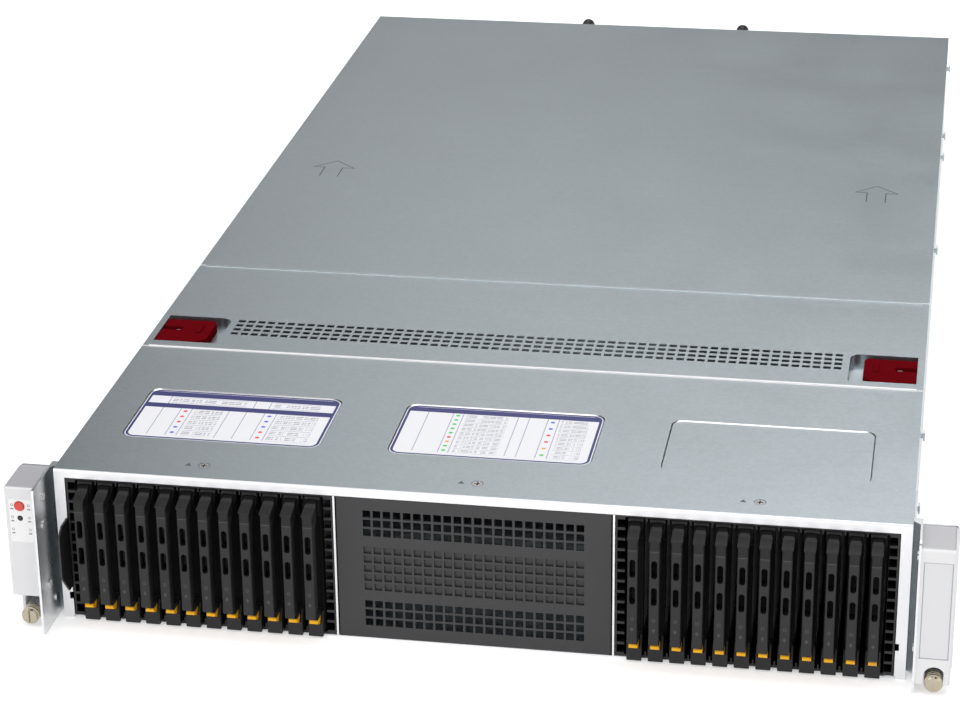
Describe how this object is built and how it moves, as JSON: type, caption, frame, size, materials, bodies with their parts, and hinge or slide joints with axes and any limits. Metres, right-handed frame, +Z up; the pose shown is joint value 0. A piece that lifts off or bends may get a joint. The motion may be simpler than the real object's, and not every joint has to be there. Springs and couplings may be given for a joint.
{
  "type": "rack_server",
  "caption": "Rack-mount server, two units high: steel case with three top covers, upright slim drives in two banks, a centre air grille, rack ears with thumbscrews and two power supplies",
  "frame": {"origin": "On the bottom face of the chassis, on its centre line, in the plane of the ears' rear faces, which bear on the rack posts.", "axes": "X runs across the rack, to the right as seen from the front. Y runs back into the rack. Z points up."},
  "size_m": [0.4826, 0.8665, 0.0866],
  "materials": {
    "galvanised_steel": "satin",
    "dark_steel": "satin",
    "ear_steel": "satin",
    "charcoal_plastic": "matte",
    "panel_plastic": "satin",
    "latch_plastic": "satin",
    "orange_plastic": "satin",
    "button_plastic": "gloss",
    "nickel_screw": "polished",
    "board_green": "satin",
    "cooler_aluminium": "satin",
    "knob_black": "matte"
  },
  "bodies": {
    "base": {"chassis_tray": "galvanised_steel", "front_cover": "galvanised_steel", "centre_grille": "dark_steel", "drive_cage_left": "dark_steel", "drive_cage_right": "dark_steel", "backplanes": "board_green", "ear_bracket_left": "ear_steel", "ear_bracket_right": "ear_steel", "control_panel_housing": "panel_plastic", "ear_cover_right": "panel_plastic", "fan_frames": "charcoal_plastic", "motherboard": "board_green", "memory_modules": "board_green", "heatsinks": "cooler_aluminium", "rear_io_panel": "galvanised_steel", "case_screws": "nickel_screw"},
    "middle_cover": {"middle_cover": "galvanised_steel"},
    "rear_cover": {"rear_cover": "galvanised_steel", "rear_knobs": "knob_black"},
    "cover_latch_left": {"cover_latch_left": "latch_plastic"},
    "cover_latch_right": {"cover_latch_right": "latch_plastic"},
    "power_button": {"power_button": "button_plastic"},
    "uid_button": {"uid_button": "knob_black"},
    "thumbscrew_left": {"thumbscrew_left": "nickel_screw"},
    "thumbscrew_right": {"thumbscrew_right": "nickel_screw"},
    "asset_tag": {"asset_tag": "charcoal_plastic"},
    "fan_rotor_1": {"fan_rotor_1": "charcoal_plastic"},
    "fan_rotor_2": {"fan_rotor_2": "charcoal_plastic"},
    "fan_rotor_3": {"fan_rotor_3": "charcoal_plastic"},
    "fan_rotor_4": {"fan_rotor_4": "charcoal_plastic"},
    "power_supply_lower": {"power_supply_lower": "galvanised_steel"},
    "power_supply_upper": {"power_supply_upper": "galvanised_steel"},
    "supply_latch_lower": {"supply_latch_lower": "latch_plastic"},
    "supply_latch_upper": {"supply_latch_upper": "latch_plastic"},
    "drive_lever": {"drive_lever": "charcoal_plastic"},
    "drive_catch": {"drive_catch": "orange_plastic"},
    "carrier_left_01": {"carrier_left_01": "charcoal_plastic"},
    "carrier_left_02": {"carrier_left_02": "charcoal_plastic"},
    "carrier_left_03": {"carrier_left_03": "charcoal_plastic"},
    "carrier_left_04": {"carrier_left_04": "charcoal_plastic"},
    "carrier_left_05": {"carrier_left_05": "charcoal_plastic"},
    "carrier_left_06": {"carrier_left_06": "charcoal_plastic"},
    "carrier_left_07": {"carrier_left_07": "charcoal_plastic"},
    "carrier_left_08": {"carrier_left_08": "charcoal_plastic"},
    "carrier_left_09": {"carrier_left_09": "charcoal_plastic"},
    "carrier_left_10": {"carrier_left_10": "charcoal_plastic"},
    "carrier_left_11": {"carrier_left_11": "charcoal_plastic"},
    "carrier_left_12": {"carrier_left_12": "charcoal_plastic"},
    "carrier_right_01": {"carrier_right_01": "charcoal_plastic"},
    "carrier_right_02": {"carrier_right_02": "charcoal_plastic"},
    "carrier_right_03": {"carrier_right_03": "charcoal_plastic"},
    "carrier_right_04": {"carrier_right_04": "charcoal_plastic"},
    "carrier_right_05": {"carrier_right_05": "charcoal_plastic"},
    "carrier_right_06": {"carrier_right_06": "charcoal_plastic"},
    "carrier_right_07": {"carrier_right_07": "charcoal_plastic"},
    "carrier_right_08": {"carrier_right_08": "charcoal_plastic"},
    "carrier_right_09": {"carrier_right_09": "charcoal_plastic"},
    "carrier_right_10": {"carrier_right_10": "charcoal_plastic"},
    "carrier_right_11": {"carrier_right_11": "charcoal_plastic"},
    "carrier_right_12": {"carrier_right_12": "charcoal_plastic"}
  },
  "joints": [
    {"name": "middle_cover_lift", "type": "slide", "parent": "base", "child": "middle_cover", "axis": [0, 0, 1], "range_m": [0, 0.1]},
    {"name": "rear_cover_slide", "type": "slide", "parent": "base", "child": "rear_cover", "axis": [0, 1, 0], "range_m": [0, 0.014]},
    {"name": "latch_left_slide", "type": "slide", "parent": "middle_cover", "child": "cover_latch_left", "axis": [1, 0, 0], "range_m": [0, 0.007]},
    {"name": "latch_right_slide", "type": "slide", "parent": "middle_cover", "child": "cover_latch_right", "axis": [-1, 0, 0], "range_m": [0, 0.007]},
    {"name": "drive_lever_hinge", "type": "hinge", "parent": "carrier_right_12", "child": "drive_lever", "pos_m": [0, -0.0142, 0.0735], "axis": [-1, 0, 0], "range_deg": [0, 50]},
    {"name": "drive_catch_press", "type": "slide", "parent": "carrier_right_12", "child": "drive_catch", "axis": [0, 1, 0], "range_m": [0, 0.0015], "stiffness_N_per_m": 400},
    {"name": "power_button_press", "type": "slide", "parent": "base", "child": "power_button", "axis": [0, 1, 0], "range_m": [0, 0.0008], "stiffness_N_per_m": 500},
    {"name": "uid_button_press", "type": "slide", "parent": "base", "child": "uid_button", "axis": [0, 1, 0], "range_m": [0, 0.0008], "stiffness_N_per_m": 500},
    {"name": "thumbscrew_left_turn", "type": "hinge", "parent": "base", "child": "thumbscrew_left", "pos_m": [-0.23255, -0.013, 0.00635], "axis": [0, 1, 0], "continuous": true},
    {"name": "thumbscrew_right_turn", "type": "hinge", "parent": "base", "child": "thumbscrew_right", "pos_m": [0.23255, -0.013, 0.00635], "axis": [0, 1, 0], "continuous": true},
    {"name": "asset_tag_slide", "type": "slide", "parent": "base", "child": "asset_tag", "axis": [0, -1, 0], "range_m": [0, 0.058]},
    {"name": "fan_rotor_1_spin", "type": "hinge", "parent": "base", "child": "fan_rotor_1", "pos_m": [-0.135, 0.207, 0.0412], "axis": [0, 1, 0], "continuous": true},
    {"name": "fan_rotor_2_spin", "type": "hinge", "parent": "base", "child": "fan_rotor_2", "pos_m": [-0.045, 0.207, 0.0412], "axis": [0, 1, 0], "continuous": true},
    {"name": "fan_rotor_3_spin", "type": "hinge", "parent": "base", "child": "fan_rotor_3", "pos_m": [0.045, 0.207, 0.0412], "axis": [0, 1, 0], "continuous": true},
    {"name": "fan_rotor_4_spin", "type": "hinge", "parent": "base", "child": "fan_rotor_4", "pos_m": [0.135, 0.207, 0.0412], "axis": [0, 1, 0], "continuous": true},
    {"name": "supply_lower_slide", "type": "slide", "parent": "base", "child": "power_supply_lower", "axis": [0, 1, 0], "range_m": [0, 0.25]},
    {"name": "supply_upper_slide", "type": "slide", "parent": "base", "child": "power_supply_upper", "axis": [0, 1, 0], "range_m": [0, 0.25]},
    {"name": "supply_latch_lower_press", "type": "hinge", "parent": "power_supply_lower", "child": "supply_latch_lower", "pos_m": [-0.1785, 0.8094, 0.03], "axis": [0, 0, -1], "range_deg": [0, 12], "stiffness_Nm_per_rad": 0.02},
    {"name": "supply_latch_upper_press", "type": "hinge", "parent": "power_supply_upper", "child": "supply_latch_upper", "pos_m": [-0.1785, 0.8094, 0.07], "axis": [0, 0, -1], "range_deg": [0, 12], "stiffness_Nm_per_rad": 0.02},
    {"name": "carrier_left_01_slide", "type": "slide", "parent": "base", "child": "carrier_left_01", "axis": [0, -1, 0], "range_m": [0, 0.125]},
    {"name": "carrier_left_02_slide", "type": "slide", "parent": "base", "child": "carrier_left_02", "axis": [0, -1, 0], "range_m": [0, 0.125]},
    {"name": "carrier_left_03_slide", "type": "slide", "parent": "base", "child": "carrier_left_03", "axis": [0, -1, 0], "range_m": [0, 0.125]},
    {"name": "carrier_left_04_slide", "type": "slide", "parent": "base", "child": "carrier_left_04", "axis": [0, -1, 0], "range_m": [0, 0.125]},
    {"name": "carrier_left_05_slide", "type": "slide", "parent": "base", "child": "carrier_left_05", "axis": [0, -1, 0], "range_m": [0, 0.125]},
    {"name": "carrier_left_06_slide", "type": "slide", "parent": "base", "child": "carrier_left_06", "axis": [0, -1, 0], "range_m": [0, 0.125]},
    {"name": "carrier_left_07_slide", "type": "slide", "parent": "base", "child": "carrier_left_07", "axis": [0, -1, 0], "range_m": [0, 0.125]},
    {"name": "carrier_left_08_slide", "type": "slide", "parent": "base", "child": "carrier_left_08", "axis": [0, -1, 0], "range_m": [0, 0.125]},
    {"name": "carrier_left_09_slide", "type": "slide", "parent": "base", "child": "carrier_left_09", "axis": [0, -1, 0], "range_m": [0, 0.125]},
    {"name": "carrier_left_10_slide", "type": "slide", "parent": "base", "child": "carrier_left_10", "axis": [0, -1, 0], "range_m": [0, 0.125]},
    {"name": "carrier_left_11_slide", "type": "slide", "parent": "base", "child": "carrier_left_11", "axis": [0, -1, 0], "range_m": [0, 0.125]},
    {"name": "carrier_left_12_slide", "type": "slide", "parent": "base", "child": "carrier_left_12", "axis": [0, -1, 0], "range_m": [0, 0.125]},
    {"name": "carrier_right_01_slide", "type": "slide", "parent": "base", "child": "carrier_right_01", "axis": [0, -1, 0], "range_m": [0, 0.125]},
    {"name": "carrier_right_02_slide", "type": "slide", "parent": "base", "child": "carrier_right_02", "axis": [0, -1, 0], "range_m": [0, 0.125]},
    {"name": "carrier_right_03_slide", "type": "slide", "parent": "base", "child": "carrier_right_03", "axis": [0, -1, 0], "range_m": [0, 0.125]},
    {"name": "carrier_right_04_slide", "type": "slide", "parent": "base", "child": "carrier_right_04", "axis": [0, -1, 0], "range_m": [0, 0.125]},
    {"name": "carrier_right_05_slide", "type": "slide", "parent": "base", "child": "carrier_right_05", "axis": [0, -1, 0], "range_m": [0, 0.125]},
    {"name": "carrier_right_06_slide", "type": "slide", "parent": "base", "child": "carrier_right_06", "axis": [0, -1, 0], "range_m": [0, 0.125]},
    {"name": "carrier_right_07_slide", "type": "slide", "parent": "base", "child": "carrier_right_07", "axis": [0, -1, 0], "range_m": [0, 0.125]},
    {"name": "carrier_right_08_slide", "type": "slide", "parent": "base", "child": "carrier_right_08", "axis": [0, -1, 0], "range_m": [0, 0.125]},
    {"name": "carrier_right_09_slide", "type": "slide", "parent": "base", "child": "carrier_right_09", "axis": [0, -1, 0], "range_m": [0, 0.125]},
    {"name": "carrier_right_10_slide", "type": "slide", "parent": "base", "child": "carrier_right_10", "axis": [0, -1, 0], "range_m": [0, 0.125]},
    {"name": "carrier_right_11_slide", "type": "slide", "parent": "base", "child": "carrier_right_11", "axis": [0, -1, 0], "range_m": [0, 0.125]},
    {"name": "carrier_right_12_slide", "type": "slide", "parent": "base", "child": "carrier_right_12", "axis": [0, -1, 0], "range_m": [0, 0.125]}
  ]
}
